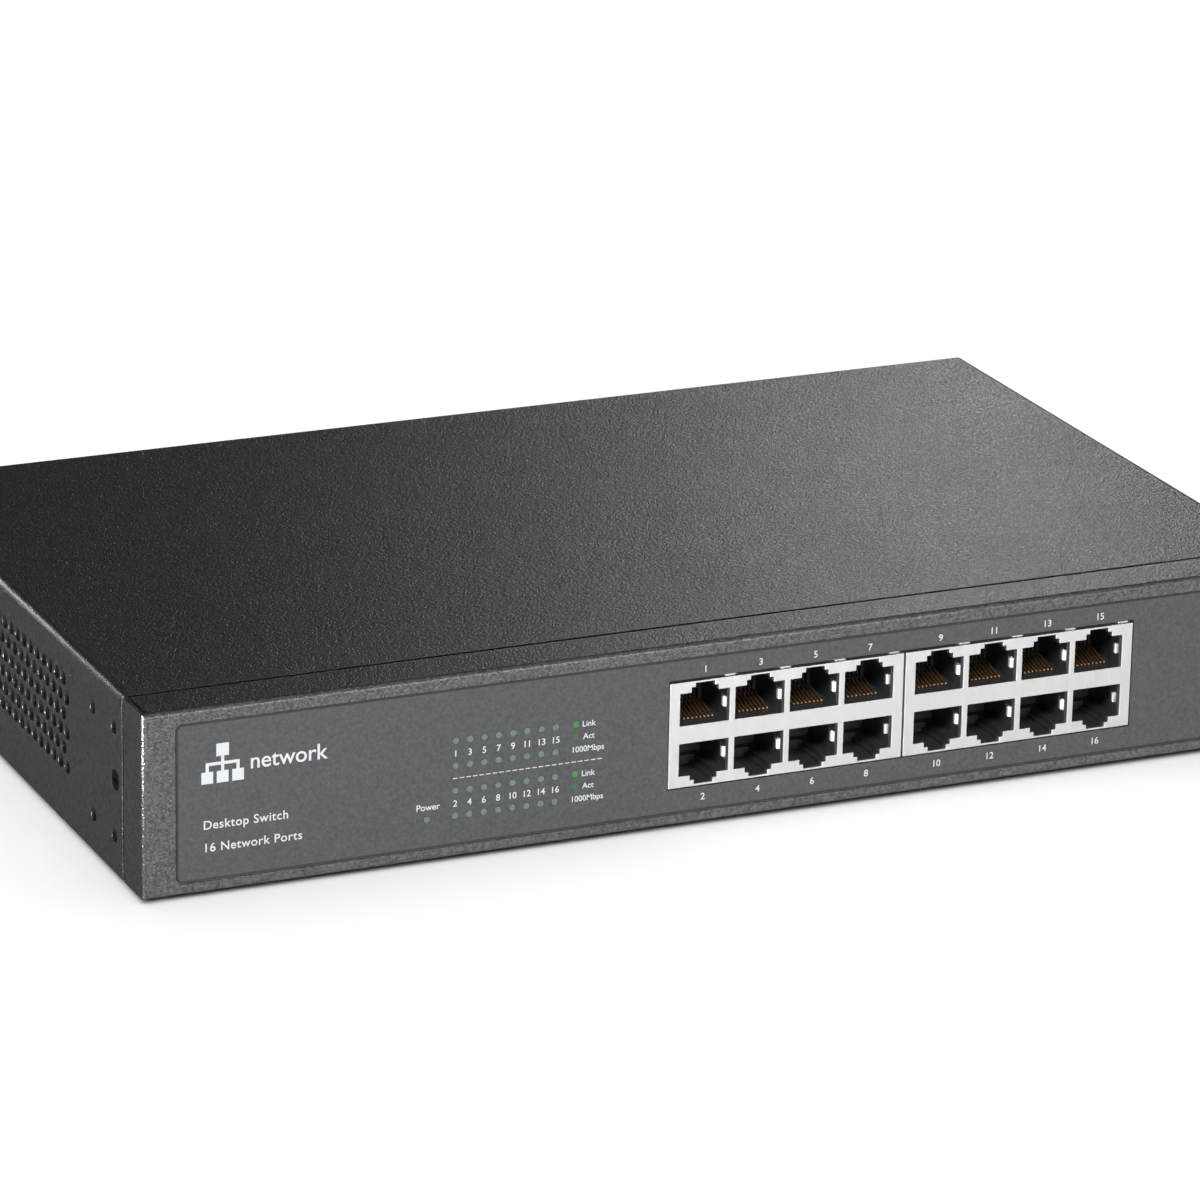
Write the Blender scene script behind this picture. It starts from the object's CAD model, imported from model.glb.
"""Gives a desktop network switch its finishes, printing, small parts and studio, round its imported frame."""
import math

import bmesh
import bpy
from bpy.props import FloatProperty, FloatVectorProperty, PointerProperty, StringProperty
from mathutils import Euler, Matrix, Vector


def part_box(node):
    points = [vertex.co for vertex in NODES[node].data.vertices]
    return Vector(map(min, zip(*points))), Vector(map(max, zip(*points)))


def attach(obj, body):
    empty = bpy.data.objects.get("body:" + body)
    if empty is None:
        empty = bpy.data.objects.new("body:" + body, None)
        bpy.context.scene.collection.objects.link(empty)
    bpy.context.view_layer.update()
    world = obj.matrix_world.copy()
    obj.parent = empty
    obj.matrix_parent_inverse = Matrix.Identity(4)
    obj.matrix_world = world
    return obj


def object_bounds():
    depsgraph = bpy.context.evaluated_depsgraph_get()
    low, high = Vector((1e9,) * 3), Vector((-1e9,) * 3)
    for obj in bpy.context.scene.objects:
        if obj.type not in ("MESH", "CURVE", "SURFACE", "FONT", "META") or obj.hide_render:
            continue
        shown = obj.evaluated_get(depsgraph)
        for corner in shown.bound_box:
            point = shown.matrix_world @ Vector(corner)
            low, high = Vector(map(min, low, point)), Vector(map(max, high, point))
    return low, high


bl_info = {
    "name": "Desktop Network Switch",
    "version": (1, 0, 0),
    "blender": (4, 5, 0),
    "location": "3D View > Sidebar > Switch",
    "description": "Finishes, printing and studio for a steel-cased network switch",
    "category": "Object",
}

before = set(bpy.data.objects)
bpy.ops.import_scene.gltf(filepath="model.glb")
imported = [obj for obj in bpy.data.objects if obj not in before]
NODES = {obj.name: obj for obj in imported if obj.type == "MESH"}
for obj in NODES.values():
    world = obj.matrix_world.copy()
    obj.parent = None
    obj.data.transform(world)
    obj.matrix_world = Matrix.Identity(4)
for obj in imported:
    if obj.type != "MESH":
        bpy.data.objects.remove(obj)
CAD_LOW, CAD_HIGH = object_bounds()

MM = 0.001
CASE = "case"

# Where the case's own drawing starts above the floor: on top of the feet.
FEET_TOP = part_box("rubber_feet")[1].z
FRONT = CAD_LOW.y
FILM_LOW, FILM_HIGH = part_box("front_overlay")
FILM_FACE = FILM_LOW.y
JACKS = [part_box(f"contact_set_{n:02d}") for n in range(1, 17)]


def srgb(code):
    """Linear colour of an sRGB hex code, as the shaders want it."""
    parts = [int(code[k:k + 2], 16) / 255 for k in (1, 3, 5)]
    return tuple(p / 12.92 if p <= 0.04045 else ((p + 0.055) / 1.055) ** 2.4 for p in parts)


def per_metre(size_mm):
    """Texture scale at which one cell of a pattern is that many millimetres."""
    return 1 / (size_mm * MM)


# ---------------------------------------------------------------- settings

class SwitchFinish(bpy.types.PropertyGroup):
    paint: FloatVectorProperty(
        name="Powder coat", description="Colour of the case's powder coat",
        subtype="COLOR", size=3, min=0, max=1, default=srgb("#5a5c5e"))
    film: FloatVectorProperty(
        name="Overlay film", description="Ground colour printed on the overlay",
        subtype="COLOR", size=3, min=0, max=1, default=srgb("#46484b"))
    ink: FloatVectorProperty(
        name="Ink", description="Colour of the lettering",
        subtype="COLOR", size=3, min=0, max=1, default=srgb("#dfe3e7"))
    shield: FloatVectorProperty(
        name="Jack shield", description="Colour of the tin plate on the jack shields",
        subtype="COLOR", size=3, min=0, max=1, default=srgb("#efefee"))
    wrinkle: FloatProperty(
        name="Wrinkle", description="Size of one wrinkle in the powder coat",
        subtype="DISTANCE", unit="LENGTH", min=0.0002, max=0.004, default=0.95 * MM)


class SwitchPrint(bpy.types.PropertyGroup):
    mark: StringProperty(
        name="Mark", description="Plain word beside the pictogram", default="network")
    port_digit: FloatProperty(
        name="Port numbers", description="Height of the numbers at the jacks",
        subtype="DISTANCE", unit="LENGTH", default=1.7 * MM)
    lamp_digit: FloatProperty(
        name="Indicator numbers", description="Height of the numbers between the indicators",
        subtype="DISTANCE", unit="LENGTH", default=1.6 * MM)
    edge_line: FloatProperty(
        name="Edge line", description="Width of the dark line along the film's cut edge",
        subtype="DISTANCE", unit="LENGTH", default=0.5 * MM)
    ink_depth: FloatProperty(
        name="Ink depth", description="Thickness of the printed ink",
        subtype="DISTANCE", unit="LENGTH", default=0.015 * MM)


class SwitchStudio(bpy.types.PropertyGroup):
    lens: FloatProperty(
        name="Lens", description="Focal length on a 36 mm sensor",
        subtype="DISTANCE_CAMERA", min=20, default=187.75)
    azimuth: FloatProperty(
        name="Azimuth", description="Direction the camera looks in, turned from straight back to the right",
        subtype="ANGLE", unit="ROTATION", default=math.radians(24.14))
    elevation: FloatProperty(
        name="Elevation", description="How far the camera looks down",
        subtype="ANGLE", unit="ROTATION", default=math.radians(19.14))
    roll: FloatProperty(
        name="Roll", description="Tilt of the camera about its own line of sight",
        subtype="ANGLE", unit="ROTATION", default=math.radians(-1.11))
    place: FloatVectorProperty(
        name="Camera place", description="Where the camera stands",
        subtype="TRANSLATION", unit="LENGTH", size=3,
        default=(-584.089 * MM, -1310.696 * MM, 522.651 * MM))
    floor_size: FloatProperty(
        name="Floor", description="Width of the square floor",
        subtype="DISTANCE", unit="LENGTH", default=40)


# ---------------------------------------------------------------- shading

def begin(name):
    """New material with an empty tree, its shader and its output."""
    material = bpy.data.materials.new(name)
    material.use_nodes = True
    tree = material.node_tree
    tree.nodes.clear()
    shader = add(tree, "ShaderNodeBsdfPrincipled")
    add(tree, "ShaderNodeOutputMaterial", links={"Surface": shader.outputs["BSDF"]})
    return material, tree, shader


def add(tree, kind, settings=None, links=None):
    """Adds one node, fills in its settings and joins its inputs."""
    node = tree.nodes.new(kind)
    for key, value in (settings or {}).items():
        if isinstance(key, int) or key in node.inputs:
            node.inputs[key].default_value = value
        else:
            setattr(node, key, value)
    for key, source in (links or {}).items():
        tree.links.new(source, node.inputs[key])
    return node


def rgba(colour, share=1.0):
    return tuple(min(c * share, 1.0) for c in colour[:3]) + (1.0,)


# The shader's own sockets for values that are the same all over a surface.
SOCKETS = {"metallic": "Metallic", "ior": "IOR", "clear": "Transmission Weight"}


def set_shader(shader, **values):
    for key, value in values.items():
        shader.inputs[SOCKETS[key]].default_value = value


def place_of(tree):
    """The piece's own place in metres, which is the frame's."""
    return add(tree, "ShaderNodeTexCoord").outputs["Object"]


def mottled(name, light, dark, cell_mm, rough, rough_swing=0.08, bump_mm=0.0, bump_cell_mm=None,
            **shader_values):
    """A surface whose colour, roughness and height vary with fine noise. Sizes are in millimetres."""
    material, tree, shader = begin(name)
    place = place_of(tree)
    cloud = add(tree, "ShaderNodeTexNoise", {"Scale": per_metre(cell_mm), "Detail": 4.0, "Roughness": 0.6},
                {"Vector": place})
    tint = add(tree, "ShaderNodeMix", {"data_type": "RGBA", 6: rgba(dark), 7: rgba(light)},
               {0: cloud.outputs["Fac"]})
    tree.links.new(tint.outputs[2], shader.inputs["Base Color"])
    gloss = add(tree, "ShaderNodeMapRange", {"To Min": rough - rough_swing, "To Max": rough + rough_swing},
                {"Value": cloud.outputs["Fac"]})
    tree.links.new(gloss.outputs["Result"], shader.inputs["Roughness"])
    if bump_mm:
        grain = add(tree, "ShaderNodeTexNoise",
                    {"Scale": per_metre(bump_cell_mm or cell_mm), "Detail": 3.0, "Roughness": 0.55},
                    {"Vector": place})
        bump = add(tree, "ShaderNodeBump", {"Strength": 1.0, "Distance": bump_mm * MM},
                   {"Height": grain.outputs["Fac"]})
        tree.links.new(bump.outputs["Normal"], shader.inputs["Normal"])
    set_shader(shader, **shader_values)
    return material


# Steel under a fine-wrinkle polyester powder coat: dark neutral grey, satin, with a leathery
# skin of small wavy ridges that sparkle faintly where the light grazes them. The real wrinkle is
# finer: it is drawn as coarse as it needs to show, and partly in the colour for the same reason.
def powder_coat(finish):
    material, tree, shader = begin("wrinkle_powder_coat_steel")
    place = place_of(tree)
    size = finish.wrinkle / MM
    ridges = add(tree, "ShaderNodeTexNoise",
                 {"Scale": per_metre(size), "Detail": 2.0, "Roughness": 0.5, "Distortion": 0.9},
                 {"Vector": place})
    grit = add(tree, "ShaderNodeTexNoise", {"Scale": per_metre(size * 0.5), "Detail": 1.0},
               {"Vector": place})
    skin = add(tree, "ShaderNodeMath", {"operation": "MULTIPLY_ADD", 1: 0.8},
               {0: grit.outputs["Fac"], 2: ridges.outputs["Fac"]})
    bump = add(tree, "ShaderNodeBump", {"Strength": 1.0, "Distance": 0.115 * MM},
               {"Height": skin.outputs["Value"]})
    tree.links.new(bump.outputs["Normal"], shader.inputs["Normal"])
    shade = add(tree, "ShaderNodeMapRange",
                {"From Min": 0.7, "From Max": 1.1, "To Min": 0.62, "To Max": 1.38},
                {"Value": skin.outputs["Value"]})
    tint = add(tree, "ShaderNodeVectorMath", {"operation": "SCALE", 0: tuple(finish.paint)},
               {"Scale": shade.outputs["Result"]})
    tree.links.new(tint.outputs["Vector"], shader.inputs["Base Color"])
    cloud = add(tree, "ShaderNodeTexNoise", {"Scale": per_metre(30), "Detail": 3.0}, {"Vector": place})
    gloss = add(tree, "ShaderNodeMapRange", {"To Min": 0.26, "To Max": 0.32}, {"Value": cloud.outputs["Fac"]})
    tree.links.new(gloss.outputs["Result"], shader.inputs["Roughness"])
    set_shader(shader, ior=1.5)
    return material


# Polyester film printed on its back: even dark grey with a fine satin emboss on the face, whose
# grain is drawn coarser than the real one so that it shows.
def satin_film(finish):
    colour = tuple(finish.film)
    light = tuple(c * 1.7 for c in colour)
    dark = tuple(c * 0.3 for c in colour)
    return mottled("satin_polyester_film", light, dark, 0.8, 0.5, 0.05, 0.02, 0.8, ior=1.57)


# Screen-printed epoxy ink: flat, opaque and slightly chalky.
def printed_ink(name, colour):
    light = tuple(min(c * 1.03, 1) for c in colour)
    dark = tuple(c * 0.9 for c in colour)
    return mottled(name, light, dark, 0.3, 0.6, 0.05)


# Bright tin plate on thin stamped steel: nearly white, with soft reflections and faint drawing lines.
def tin_plate(finish):
    material, tree, shader = begin("bright_tin_plate")
    place = place_of(tree)
    drawn = add(tree, "ShaderNodeVectorMath", {"operation": "MULTIPLY", 1: (1, 1, 0.06)}, {0: place})
    lines = add(tree, "ShaderNodeTexNoise", {"Scale": per_metre(0.25), "Detail": 3.0},
                {"Vector": drawn.outputs["Vector"]})
    tint = add(tree, "ShaderNodeMix",
               {"data_type": "RGBA", 6: rgba(finish.shield, 0.93), 7: rgba(finish.shield)},
               {0: lines.outputs["Fac"]})
    tree.links.new(tint.outputs[2], shader.inputs["Base Color"])
    gloss = add(tree, "ShaderNodeMapRange", {"To Min": 0.34, "To Max": 0.46}, {"Value": lines.outputs["Fac"]})
    tree.links.new(gloss.outputs["Result"], shader.inputs["Roughness"])
    bump = add(tree, "ShaderNodeBump", {"Distance": 0.004 * MM}, {"Height": lines.outputs["Fac"]})
    tree.links.new(bump.outputs["Normal"], shader.inputs["Normal"])
    set_shader(shader, metallic=1.0)
    return material


# Solder mask over etched copper: deep green and glossy, with straight raised tracks.
def solder_mask(name, base, track):
    material, tree, shader = begin(name)
    place = place_of(tree)
    cells = add(tree, "ShaderNodeTexBrick",
                {"Scale": per_metre(3.2), "Mortar Size": 0.06, "Color1": rgba(base),
                 "Color2": rgba(base, 0.85), "Mortar": rgba(track)}, {"Vector": place})
    tree.links.new(cells.outputs["Color"], shader.inputs["Base Color"])
    bump = add(tree, "ShaderNodeBump", {"Distance": 0.03 * MM}, {"Height": cells.outputs["Fac"]})
    tree.links.new(bump.outputs["Normal"], shader.inputs["Normal"])
    cloud = add(tree, "ShaderNodeTexNoise", {"Scale": per_metre(6)}, {"Vector": place})
    gloss = add(tree, "ShaderNodeMapRange", {"To Min": 0.25, "To Max": 0.4}, {"Value": cloud.outputs["Fac"]})
    tree.links.new(gloss.outputs["Result"], shader.inputs["Roughness"])
    set_shader(shader, ior=1.55)
    return material


# Moulded nylon and epoxy: near black, satin, with the fine matt grain of the mould.
def moulded(name, code, rough=0.45, grain_mm=0.25, ior=1.53):
    colour = srgb(code)
    return mottled(name, tuple(min(c * 1.15, 1) for c in colour), tuple(c * 0.85 for c in colour),
                   grain_mm * 6, rough, 0.06, 0.01, grain_mm, ior=ior)


# Plated or bare metal: its colour in the reflection, broken by fine scratches and plating haze.
def metal(name, code, rough=0.3, grain_mm=0.6):
    colour = srgb(code)
    return mottled(name, colour, tuple(c * 0.85 for c in colour), grain_mm * 3, rough, 0.08, 0.004, grain_mm,
                   metallic=1.0)


# Clear polycarbonate light guide: pale grey-green where light is lost in it.
def light_guide_plastic():
    return mottled("clear_polycarbonate", srgb("#8da39b"), srgb("#6f857d"), 1.5, 0.3, 0.05, 0.006, 0.4,
                   ior=1.58, clear=0.25)


def build_materials(finish):
    """Every material by its short name."""
    return {
        "paint": powder_coat(finish),
        "film": satin_film(finish),
        "ink": printed_ink("white_screen_ink", tuple(finish.ink)),
        "green_ink": printed_ink("green_screen_ink", srgb("#2c8c35")),
        "dark_green_ink": printed_ink("dark_green_screen_ink", srgb("#2d6f37")),
        "edge_ink": printed_ink("dark_edge_ink", srgb("#26272a")),
        "tin": tin_plate(finish),
        "jack": moulded("black_nylon_housing", "#232527", 0.35),
        "gold": metal("gold_flashed_bronze", "#a67f56", 0.5, 0.2),
        "guide": light_guide_plastic(),
        "board": solder_mask("green_solder_mask", srgb("#0f4a26"), srgb("#1d6b38")),
        "laminate": mottled("paper_phenolic_laminate", srgb("#b98a55"), srgb("#a67a48"),
                            2.0, 0.5, 0.08, 0.02, 0.5),
        "lamp": moulded("milky_epoxy_lamp", "#e8ebdd", 0.3),
        "black": moulded("black_glass_filled_nylon", "#141416", 0.5),
        "ivory": moulded("ivory_nylon", "#dcd5bd", 0.45),
        "zinc": metal("bright_zinc_plate", "#c9ccd0", 0.3),
        "black_zinc": metal("black_zinc_plate", "#2a2b2d", 0.4),
        "chip": moulded("black_moulding_epoxy", "#17181a", 0.6, 0.15),
        "fins": metal("extruded_aluminium", "#d7d9db", 0.38, 1.2),
        "can": metal("drawn_nickel_silver", "#cfccc6", 0.22),
        "sleeve": mottled("shrunk_vinyl_sleeve", srgb("#18203a"), srgb("#11172b"), 3.0, 0.3, 0.05, 0.01, 1.0),
        "ferrite": moulded("sintered_ferrite", "#2b2c2f", 0.7, 0.3),
        "insulator": moulded("calendered_polyester_sheet", "#dcdcd8", 0.4, 1.0),
        "ceramic": moulded("glazed_ceramic", "#cdc3ab", 0.25, 0.5),
        "copper": metal("enamelled_copper", "#b5682d", 0.3),
        "yellow": moulded("yellow_polyester_box", "#d8ad2c", 0.4),
        "tape": moulded("yellow_polyester_tape", "#d9bf4d", 0.3, 1.5),
        "red_wire": moulded("red_vinyl_sleeve", "#a3201c", 0.4, 0.8),
        "brown_wire": moulded("brown_vinyl_sleeve", "#5a3622", 0.4, 0.8),
        "earth_wire": moulded("green_yellow_vinyl_sleeve", "#8fae1f", 0.4, 0.8),
        "nickel": metal("nickel_plated_brass", "#cfc8ba", 0.25),
        "floor": mottled("matt_studio_floor", srgb("#f6f6f6"), srgb("#f2f2f2"), 400, 0.9, 0.03),
        "rubber": mottled("moulded_rubber", srgb("#1c1c1d"), srgb("#121213"), 0.8, 0.8, 0.05, 0.02, 0.4),
    }


MATERIALS = {}


def finish_of(name):
    """One of the materials, made with the rest the first time any is asked for."""
    if not MATERIALS:
        MATERIALS.update(build_materials(bpy.context.scene.switch_finish))
    return MATERIALS[name]


def paint_node(node, material):
    """Gives a carried-over CAD node its material."""
    slots = NODES[node].data.materials
    slots.clear()
    slots.append(finish_of(material))


def soften(node, width_mm, segments=2, angle=math.radians(30)):
    """Breaks a CAD node's sharp edges by a modifier, at most as wide as its finest edges leave room for."""
    weld = NODES[node].modifiers.new("weld_seams", "WELD")
    weld.merge_threshold = 0.002 * MM
    bevel = NODES[node].modifiers.new("broken_edges", "BEVEL")
    bevel.width = width_mm * MM
    bevel.segments = segments
    bevel.limit_method = "ANGLE"
    bevel.angle_limit = angle
    bevel.harden_normals = False


# ---------------------------------------------------------------- printing

def shift_to(x, y, z):
    """Stands a flat drawing up on the front, with its face towards the viewer."""
    return Matrix.Translation((x, y, z)) @ Euler((math.pi / 2, 0, 0)).to_matrix().to_4x4()


# Height of a capital or digit as a share of the built-in font's size, and how much bolder than
# the font the ink is, as a share of that height.
CAP_SHARE = 0.73
INK_SPREAD = 0.012


def lettering(text, x, z, height, depth, align="CENTER", spacing=1.0):
    """Mesh of one printed word whose middle height is z."""
    curve = bpy.data.curves.new("word", "FONT")
    curve.body = text
    curve.size = height / CAP_SHARE
    curve.align_x = align
    curve.extrude = depth / 2
    curve.offset = height * INK_SPREAD
    curve.space_character = spacing
    curve.resolution_u = 6
    word = bpy.data.objects.new("word", curve)
    bpy.context.scene.collection.objects.link(word)
    bpy.context.view_layer.update()
    mesh = bpy.data.meshes.new_from_object(word.evaluated_get(bpy.context.evaluated_depsgraph_get()))
    mesh.transform(shift_to(x, FILM_FACE - depth / 2, z - height / 2))
    bpy.data.objects.remove(word)
    bpy.data.curves.remove(curve)
    return mesh


def outline_mesh(points, depth):
    """Mesh of a flat outline of (x, z) points on the film, with the ink's thickness."""
    drawing = bmesh.new()
    low = [drawing.verts.new((x, FILM_FACE, z)) for x, z in points]
    high = [drawing.verts.new((x, FILM_FACE - depth, z)) for x, z in points]
    drawing.faces.new(high)
    drawing.faces.new(list(reversed(low)))
    for k in range(len(points)):
        n = (k + 1) % len(points)
        drawing.faces.new((high[k], low[k], low[n], high[n]))
    bmesh.ops.recalc_face_normals(drawing, faces=drawing.faces)
    mesh = bpy.data.meshes.new("outline")
    drawing.to_mesh(mesh)
    drawing.free()
    return mesh


def box_points(x, z, width, height):
    return [(x - width / 2, z - height / 2), (x + width / 2, z - height / 2),
            (x + width / 2, z + height / 2), (x - width / 2, z + height / 2)]


def round_points(x, z, radius, steps=24):
    return [(x + radius * math.cos(math.tau * k / steps), z + radius * math.sin(math.tau * k / steps))
            for k in range(steps)]


def round_rectangle(low, high, radius, inset, steps=6):
    """Corner points (x, z) of a rectangle with round corners, drawn in by an inset."""
    left, right = low.x + radius, high.x - radius
    bottom, top = low.z + radius, high.z - radius
    reach = radius - inset
    points = []
    for turn, (x, z) in enumerate(((right, top), (left, top), (left, bottom), (right, bottom))):
        for k in range(steps + 1):
            angle = math.pi / 2 * (turn + k / steps)
            points.append((x + reach * math.cos(angle), z + reach * math.sin(angle)))
    return points


def frame_mesh(low, high, radius, width, depth):
    """Mesh of a thin printed frame just inside a rounded rectangle on the film."""
    drawing = bmesh.new()
    rings = []
    hair = 0.02 * MM
    for inset, y in ((hair, FILM_FACE), (hair, FILM_FACE - depth),
                     (width, FILM_FACE - depth), (width, FILM_FACE)):
        rings.append([drawing.verts.new((x, y, z)) for x, z in round_rectangle(low, high, radius, inset)])
    count = len(rings[0])
    for k, ring in enumerate(rings):
        after = rings[(k + 1) % len(rings)]
        for j in range(count):
            n = (j + 1) % count
            drawing.faces.new((ring[j], ring[n], after[n], after[j]))
    bmesh.ops.recalc_face_normals(drawing, faces=drawing.faces)
    mesh = bpy.data.meshes.new("edge_line")
    drawing.to_mesh(mesh)
    drawing.free()
    return mesh


def join_meshes(name, meshes, material, body=CASE):
    """One piece from several small meshes, riding on a body."""
    whole = bmesh.new()
    for mesh in meshes:
        whole.from_mesh(mesh)
        bpy.data.meshes.remove(mesh)
    data = bpy.data.meshes.new(name)
    whole.to_mesh(data)
    whole.free()
    data.materials.append(finish_of(material))
    piece = bpy.data.objects.new(name, data)
    bpy.context.scene.collection.objects.link(piece)
    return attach(piece, body)


def jack_middle(n):
    """Middle of jack n along the front."""
    low, high = JACKS[n - 1]
    return (low.x + high.x) / 2


# Indicator grid, from the light guide's own places.
LAMP_COLUMNS = 8
LAMP_PITCH = 3.51 * MM
LAMP_FIRST = -71.9 * MM
LAMP_ROW = 6.03 * MM
LAMP_LOW = 9.9 * MM
POWER_X = -78.8 * MM

# Printing on the film: heights are measured from the top of the feet.
FILM_CORNER = 1.5 * MM
PORTS_ABOVE, PORTS_BELOW = 37.4 * MM, 6.2 * MM
LEGEND_HEIGHT, POWER_HEIGHT = 1.44 * MM, 1.6 * MM
LINK_X, ACT_X, SPEED_X, DOT_X = -40.8 * MM, -40.5 * MM, -43.4 * MM, -42.3 * MM
LINK_DOT, ACT_DOT = 0.75 * MM, 0.68 * MM
DASHES_FROM, DASHES_TO, DASH, DASH_WIDTH, DASH_COUNT = -72.5 * MM, -35.7 * MM, 1.15 * MM, 0.2 * MM, 23
MARK_X, MARK_HEIGHT = -128 * MM, 30.4 * MM
HUB, LEAF, BRANCH, TWIG, LEAF_PITCH = 3.0 * MM, 2.8 * MM, 0.75 * MM, 1.9 * MM, 3.65 * MM
WORD_X, WORD_HEIGHT, WORD_SIZE = -121.6 * MM, 30.0 * MM, 3.9 * MM
LINES_X, LINES_SIZE, LINES_SPACING = -132.7 * MM, 2.15 * MM, 1.08


def lamp_x(column):
    return LAMP_FIRST + column * LAMP_PITCH


def lamp_z(row):
    return FEET_TOP + LAMP_LOW + row * LAMP_ROW


# ---------------------------------------------------------------- operators

class SWITCH_OT_case(bpy.types.Operator):
    """Powder-coats the chassis and the cover and breaks their sheared edges"""
    bl_idname = "switch.case"
    bl_label = "Case"

    def execute(self, context):
        for node in ("chassis_base", "top_cover"):
            paint_node(node, "paint")
        soften("chassis_base", 0.15)
        soften("top_cover", 0.4, 3)
        return {"FINISHED"}


class SWITCH_OT_overlay(bpy.types.Operator):
    """Finishes the front overlay film and prints the dark line along its cut edge"""
    bl_idname = "switch.overlay"
    bl_label = "Overlay"

    def execute(self, context):
        paint_node("front_overlay", "film")
        depth = context.scene.switch_print.ink_depth
        edge = frame_mesh(FILM_LOW, FILM_HIGH, FILM_CORNER, context.scene.switch_print.edge_line, depth)
        join_meshes("overlay_edge_line", [edge], "edge_ink")
        return {"FINISHED"}


class SWITCH_OT_jacks(bpy.types.Operator):
    """Finishes the jack shields, housings and contact springs"""
    bl_idname = "switch.jacks"
    bl_label = "Jacks"

    def execute(self, context):
        for side in ("left", "right"):
            paint_node(f"jack_shield_{side}", "tin")
            paint_node(f"jack_housing_{side}", "jack")
            soften(f"jack_shield_{side}", 0.06)
            soften(f"jack_housing_{side}", 0.08)
        paint_node("contact_combs", "jack")
        for n in range(1, len(JACKS) + 1):
            paint_node(f"contact_set_{n:02d}", "gold")
            soften(f"contact_set_{n:02d}", 0.05)
        return {"FINISHED"}


class SWITCH_OT_numbers(bpy.types.Operator):
    """Prints the jack numbers and the indicator numbers"""
    bl_idname = "switch.numbers"
    bl_label = "Numbers"

    def execute(self, context):
        ink = context.scene.switch_print
        above = FEET_TOP + PORTS_ABOVE
        below = FEET_TOP + PORTS_BELOW
        ports = [lettering(str(n), jack_middle(n), above if n % 2 else below, ink.port_digit, ink.ink_depth)
                 for n in range(1, len(JACKS) + 1)]
        join_meshes("port_numbers", ports, "ink")
        lamps = []
        for column in range(LAMP_COLUMNS):
            odd = 2 * column + 1
            lamps.append(lettering(str(odd), lamp_x(column), lamp_z(2.5), ink.lamp_digit, ink.ink_depth))
            lamps.append(lettering(str(odd + 1), lamp_x(column), lamp_z(0.5), ink.lamp_digit, ink.ink_depth))
        join_meshes("indicator_numbers", lamps, "ink")
        return {"FINISHED"}


class SWITCH_OT_legend(bpy.types.Operator):
    """Prints the legend beside the indicators, the dashed line and the green legend dots"""
    bl_idname = "switch.legend"
    bl_label = "Legend"

    def execute(self, context):
        depth = context.scene.switch_print.ink_depth
        words = [lettering("Power", POWER_X + 0.2 * MM, lamp_z(0.5), POWER_HEIGHT, depth)]
        bright, dim = [], []
        for row in (2, 0):
            for text, x, rise in (("Link", LINK_X, 1), ("Act", ACT_X, 0.5), ("1000Mbps", SPEED_X, 0)):
                words.append(lettering(text, x, lamp_z(row + rise), LEGEND_HEIGHT, depth, "LEFT"))
            bright.append(outline_mesh(round_points(DOT_X, lamp_z(row + 1), LINK_DOT), depth))
            dim.append(outline_mesh(round_points(DOT_X, lamp_z(row + 0.5), ACT_DOT), depth))
        gap = (DASHES_TO - DASHES_FROM - DASH_COUNT * DASH) / (DASH_COUNT - 1)
        for k in range(DASH_COUNT):
            middle = DASHES_FROM + DASH / 2 + k * (DASH + gap)
            words.append(outline_mesh(box_points(middle, lamp_z(1.5), DASH, DASH_WIDTH), depth))
        join_meshes("legend_print", words, "ink")
        join_meshes("legend_link_dots", bright, "green_ink")
        join_meshes("legend_act_dots", dim, "dark_green_ink")
        return {"FINISHED"}


class SWITCH_OT_mark(bpy.types.Operator):
    """Prints a plain network pictogram, a plain word and two plain lines"""
    bl_idname = "switch.mark"
    bl_label = "Mark"

    def execute(self, context):
        ink = context.scene.switch_print
        depth = ink.ink_depth
        x, z = MARK_X, FEET_TOP + MARK_HEIGHT
        # Shapes that cross are printed a trace thinner in turn, so that no two faces coincide.
        shapes = [outline_mesh(box_points(x, z + 3.1 * MM, HUB, HUB), depth)]
        shapes.append(outline_mesh(box_points(x, z + 0.75 * MM, BRANCH, TWIG), depth))
        span = 2 * LEAF_PITCH + BRANCH
        shapes.append(outline_mesh(box_points(x, z - 0.1 * MM, span, BRANCH), depth * 0.98))
        for side in (-1, 0, 1):
            leaf_x = x + side * LEAF_PITCH
            shapes.append(outline_mesh(box_points(leaf_x, z - 1.0 * MM, BRANCH, TWIG), depth * 0.96))
            shapes.append(outline_mesh(box_points(leaf_x, z - 3.3 * MM, LEAF, LEAF), depth * 0.94))
        shapes.append(lettering(ink.mark, WORD_X, FEET_TOP + WORD_HEIGHT, WORD_SIZE, depth, "LEFT"))
        for text, height in (("Desktop Switch", 16.0 * MM), ("16 Network Ports", 10.6 * MM)):
            shapes.append(lettering(text, LINES_X, FEET_TOP + height, LINES_SIZE, depth, "LEFT",
                                    LINES_SPACING))
        join_meshes("front_mark", shapes, "ink")
        return {"FINISHED"}


class SWITCH_OT_indicators(bpy.types.Operator):
    """Finishes the light guide, its lamps and the indicator board"""
    bl_idname = "switch.indicators"
    bl_label = "Indicators"

    def execute(self, context):
        paint_node("light_guide", "guide")
        soften("light_guide", 0.35, 3)
        paint_node("indicator_leds", "lamp")
        paint_node("led_board", "board")
        paint_node("led_header", "black")
        return {"FINISHED"}


class SWITCH_OT_main_board(bpy.types.Operator):
    """Finishes the main board and what is soldered to it"""
    bl_idname = "switch.main_board"
    bl_label = "Main board"

    def execute(self, context):
        for node, material in (
                ("main_board", "board"), ("switch_chip", "chip"), ("phy_chips", "chip"),
                ("chip_heatsink", "fins"), ("line_transformers", "chip"), ("crystal", "can"),
                ("board_capacitors", "sleeve"), ("power_inductors", "ferrite"), ("dc_headers", "ivory")):
            paint_node(node, material)
        for node in ("line_transformers", "chip_heatsink"):
            soften(node, 0.15)
        return {"FINISHED"}


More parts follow.
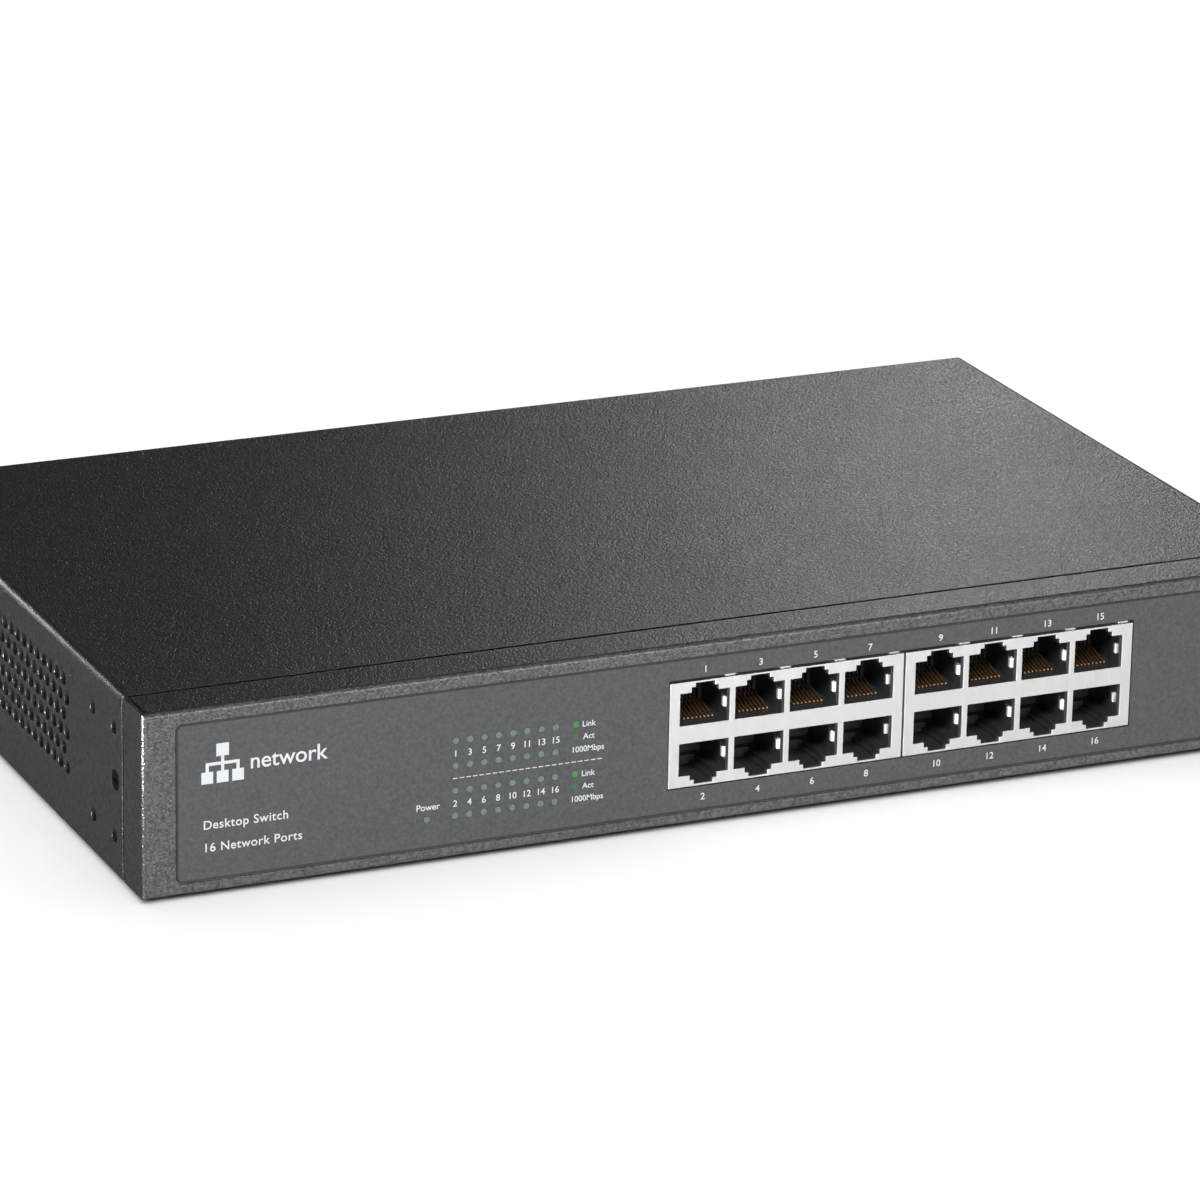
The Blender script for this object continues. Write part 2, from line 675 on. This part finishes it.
class SWITCH_OT_supply(bpy.types.Operator):
    """Finishes the mains supply board and its components"""
    bl_idname = "switch.supply"
    bl_label = "Supply"

    def execute(self, context):
        for node, material in (
                ("supply_board", "laminate"), ("insulator_sheet", "insulator"), ("mains_fuse", "ceramic"),
                ("mains_choke", "copper"), ("filter_capacitor", "yellow"), ("bridge_rectifier", "chip"),
                ("bulk_capacitor", "sleeve"), ("transformer_core", "ferrite"),
                ("transformer_winding", "tape"), ("supply_heatsink", "fins"),
                ("switching_transistor", "chip"), ("output_capacitors", "sleeve"), ("ac_header", "ivory")):
            paint_node(node, material)
        for node in ("filter_capacitor", "transformer_winding", "supply_heatsink"):
            soften(node, 0.3)
        return {"FINISHED"}


class SWITCH_OT_wiring(bpy.types.Operator):
    """Finishes the harnesses and the earth lead"""
    bl_idname = "switch.wiring"
    bl_label = "Wiring"

    def execute(self, context):
        paint_node("dc_harness", "red_wire")
        paint_node("ac_harness", "brown_wire")
        paint_node("earth_lead", "earth_wire")
        return {"FINISHED"}


class SWITCH_OT_fasteners(bpy.types.Operator):
    """Finishes the screws, standoffs and feet"""
    bl_idname = "switch.fasteners"
    bl_label = "Fasteners and feet"

    def execute(self, context):
        for node, material in (("cover_screws", "black_zinc"), ("board_screws", "zinc"),
                               ("rear_screws", "zinc"), ("standoffs", "zinc"), ("rubber_feet", "rubber")):
            paint_node(node, material)
        soften("rubber_feet", 0.3, 3)
        soften("cover_screws", 0.06)
        soften("rear_screws", 0.1)
        return {"FINISHED"}


class SWITCH_OT_inlet(bpy.types.Operator):
    """Finishes the mains inlet and its blades"""
    bl_idname = "switch.inlet"
    bl_label = "Mains inlet"

    def execute(self, context):
        paint_node("inlet_body", "black")
        paint_node("inlet_pins", "nickel")
        soften("inlet_body", 0.35, 3)
        soften("inlet_pins", 0.3, 3)
        return {"FINISHED"}


class SWITCH_OT_camera(bpy.types.Operator):
    """Sets up the camera"""
    bl_idname = "switch.camera"
    bl_label = "Camera"

    def execute(self, context):
        studio = context.scene.switch_studio
        yaw, down, roll = studio.azimuth, studio.elevation, studio.roll
        ahead = Vector((math.sin(yaw) * math.cos(down), math.cos(yaw) * math.cos(down), -math.sin(down)))
        right = Vector((math.cos(yaw), -math.sin(yaw), 0))
        below = ahead.cross(right)
        across = right * math.cos(roll) + below * math.sin(roll)
        up = right * math.sin(roll) - below * math.cos(roll)
        turn = Matrix((across, up, -ahead)).transposed().to_4x4()
        data = bpy.data.cameras.new("studio_camera")
        data.sensor_width = 36
        data.lens = studio.lens
        data.clip_start, data.clip_end = 0.01, 100
        camera = bpy.data.objects.new("studio_camera", data)
        context.scene.collection.objects.link(camera)
        camera.matrix_world = Matrix.Translation(Vector(studio.place)) @ turn
        context.scene.camera = camera
        return {"FINISHED"}


def soft_light(name, place, aim, size, watts, gloss_only=False):
    """Rectangular softbox, which may be one that shows only in reflections."""
    data = bpy.data.lights.new(name, "AREA")
    data.shape = "RECTANGLE"
    data.size, data.size_y = size
    data.energy = watts
    lamp = bpy.data.objects.new(name, data)
    bpy.context.scene.collection.objects.link(lamp)
    lamp.location = place
    lamp.rotation_euler = (Vector(aim) - Vector(place)).to_track_quat("-Z", "Y").to_euler()
    lamp.visible_camera = False
    lamp.visible_diffuse = not gloss_only
    return lamp


def group_of(name, objects, state="INCLUDE"):
    """Collection that tells a light which objects it takes, or leaves out."""
    group = bpy.data.collections.new(name)
    for item in objects:
        group.objects.link(item)
    for entry in group.collection_objects:
        entry.light_linking.link_state = state
    return group


def flat_sheet(name, half_x, half_y, z):
    """Level rectangle that belongs to the stage."""
    data = bpy.data.meshes.new(name)
    data.from_pydata([(-half_x, -half_y, z), (half_x, -half_y, z), (half_x, half_y, z), (-half_x, half_y, z)],
                     [], [(0, 1, 2, 3)])
    data.materials.append(finish_of("floor"))
    sheet = bpy.data.objects.new(name, data)
    bpy.context.scene.collection.objects.link(sheet)
    return sheet


class SWITCH_OT_stage(bpy.types.Operator):
    """Lays the pale floor and hangs the soft lights"""
    bl_idname = "switch.stage"
    bl_label = "Stage"

    def execute(self, context):
        scene = context.scene
        half = scene.switch_studio.floor_size / 2
        floor = flat_sheet("studio_floor", half, half, 0)
        floor.visible_glossy = False
        # The card lies within the case's bottom sheet, so that the floor's shadow stays a narrow one.
        card = flat_sheet("shadow_card", CAD_HIGH.x - 0.4 * MM, CAD_HIGH.y - 0.4 * MM, FEET_TOP + 0.5 * MM)

        world = bpy.data.worlds.new("studio_air")
        world.use_nodes = True
        scene.world = world
        air = world.node_tree.nodes["Background"]
        air.inputs["Color"].default_value = rgba(srgb("#ffffff"))
        air.inputs["Strength"].default_value = 0.05

        sun = bpy.data.lights.new("floor_wash", "SUN")
        sun.energy = 3.5
        sun.angle = math.radians(120)
        wash = bpy.data.objects.new("floor_wash", sun)
        scene.collection.objects.link(wash)
        wash.light_linking.receiver_collection = group_of("washed", [floor])
        wash.light_linking.blocker_collection = group_of("wash_shaded_by", [card])

        middle = (0, 0, 0.03)
        left_corner = (CAD_LOW.x, CAD_LOW.y, 0.022)
        front_box = soft_light("front_box", (0.45, -2.4, 0.17), (0, FRONT, 0.03), (2.3, 0.3), 42)
        rear_box = soft_light("rear_box", (-0.6, 2.4, 0.19), (0, -FRONT, 0.03), (1.8, 0.34), 6)
        soft_light("top_sheen", (2.43, 4.37, 1.75), middle, (0.16, 1.7), 9.5, gloss_only=True)
        soft_light("corner_strip", (-1.7, -0.75, 0.022), left_corner, (0.16, 0.036), 170, gloss_only=True)
        soft_light("edge_strip", (-1.1, 2.3, 0.85), middle, (0.5, 0.5), 12, gloss_only=True)
        jacks = (0.041, FRONT, 0.02)
        shield_fill = soft_light("shield_fill", (-0.35, -1.2, 0.35), jacks, (0.4, 0.3), 12)
        jack_fill = soft_light("jack_fill", (-0.45, -0.9, 0.9), jacks, (0.4, 0.3), 26)
        beyond_floor = group_of("all_but_floor", [floor], "EXCLUDE")
        for lamp in (front_box, rear_box):
            lamp.light_linking.receiver_collection = beyond_floor
        shields = [NODES["jack_shield_left"], NODES["jack_shield_right"]]
        inside = [NODES[name] for name in ("jack_housing_left", "jack_housing_right", "contact_combs")]
        inside += [NODES[f"contact_set_{n:02d}"] for n in range(1, len(JACKS) + 1)]
        shield_fill.light_linking.receiver_collection = group_of("shields", shields)
        jack_fill.light_linking.receiver_collection = group_of("inside_jacks", inside)
        scene.view_settings.view_transform = "Standard"
        return {"FINISHED"}


class SWITCH_PT_panel(bpy.types.Panel):
    """Lists the steps and the settings"""
    bl_idname = "SWITCH_PT_panel"
    bl_label = "Network Switch"
    bl_space_type = "VIEW_3D"
    bl_region_type = "UI"
    bl_category = "Switch"

    def draw(self, context):
        layout = self.layout
        for group in (context.scene.switch_finish, context.scene.switch_print, context.scene.switch_studio):
            box = layout.box()
            for name in group.__annotations__:
                box.prop(group, name)
        for step in STEPS:
            layout.operator(step.bl_idname)


GROUPS = (SwitchFinish, SwitchPrint, SwitchStudio)
STEPS = (
    SWITCH_OT_camera, SWITCH_OT_stage, SWITCH_OT_case, SWITCH_OT_overlay, SWITCH_OT_jacks, SWITCH_OT_numbers,
    SWITCH_OT_legend, SWITCH_OT_mark, SWITCH_OT_indicators, SWITCH_OT_main_board, SWITCH_OT_supply,
    SWITCH_OT_wiring, SWITCH_OT_fasteners, SWITCH_OT_inlet,
)


def register():
    for item in (*GROUPS, *STEPS, SWITCH_PT_panel):
        bpy.utils.register_class(item)
    bpy.types.Scene.switch_finish = PointerProperty(type=SwitchFinish)
    bpy.types.Scene.switch_print = PointerProperty(type=SwitchPrint)
    bpy.types.Scene.switch_studio = PointerProperty(type=SwitchStudio)


def unregister():
    del bpy.types.Scene.switch_studio
    del bpy.types.Scene.switch_print
    del bpy.types.Scene.switch_finish
    for item in reversed((*GROUPS, *STEPS, SWITCH_PT_panel)):
        bpy.utils.unregister_class(item)


def main():
    register()
    for step in STEPS:
        group, name = step.bl_idname.split(".")
        getattr(getattr(bpy.ops, group), name)()
    bpy.context.view_layer.update()


if __name__ == "__main__":
    main()
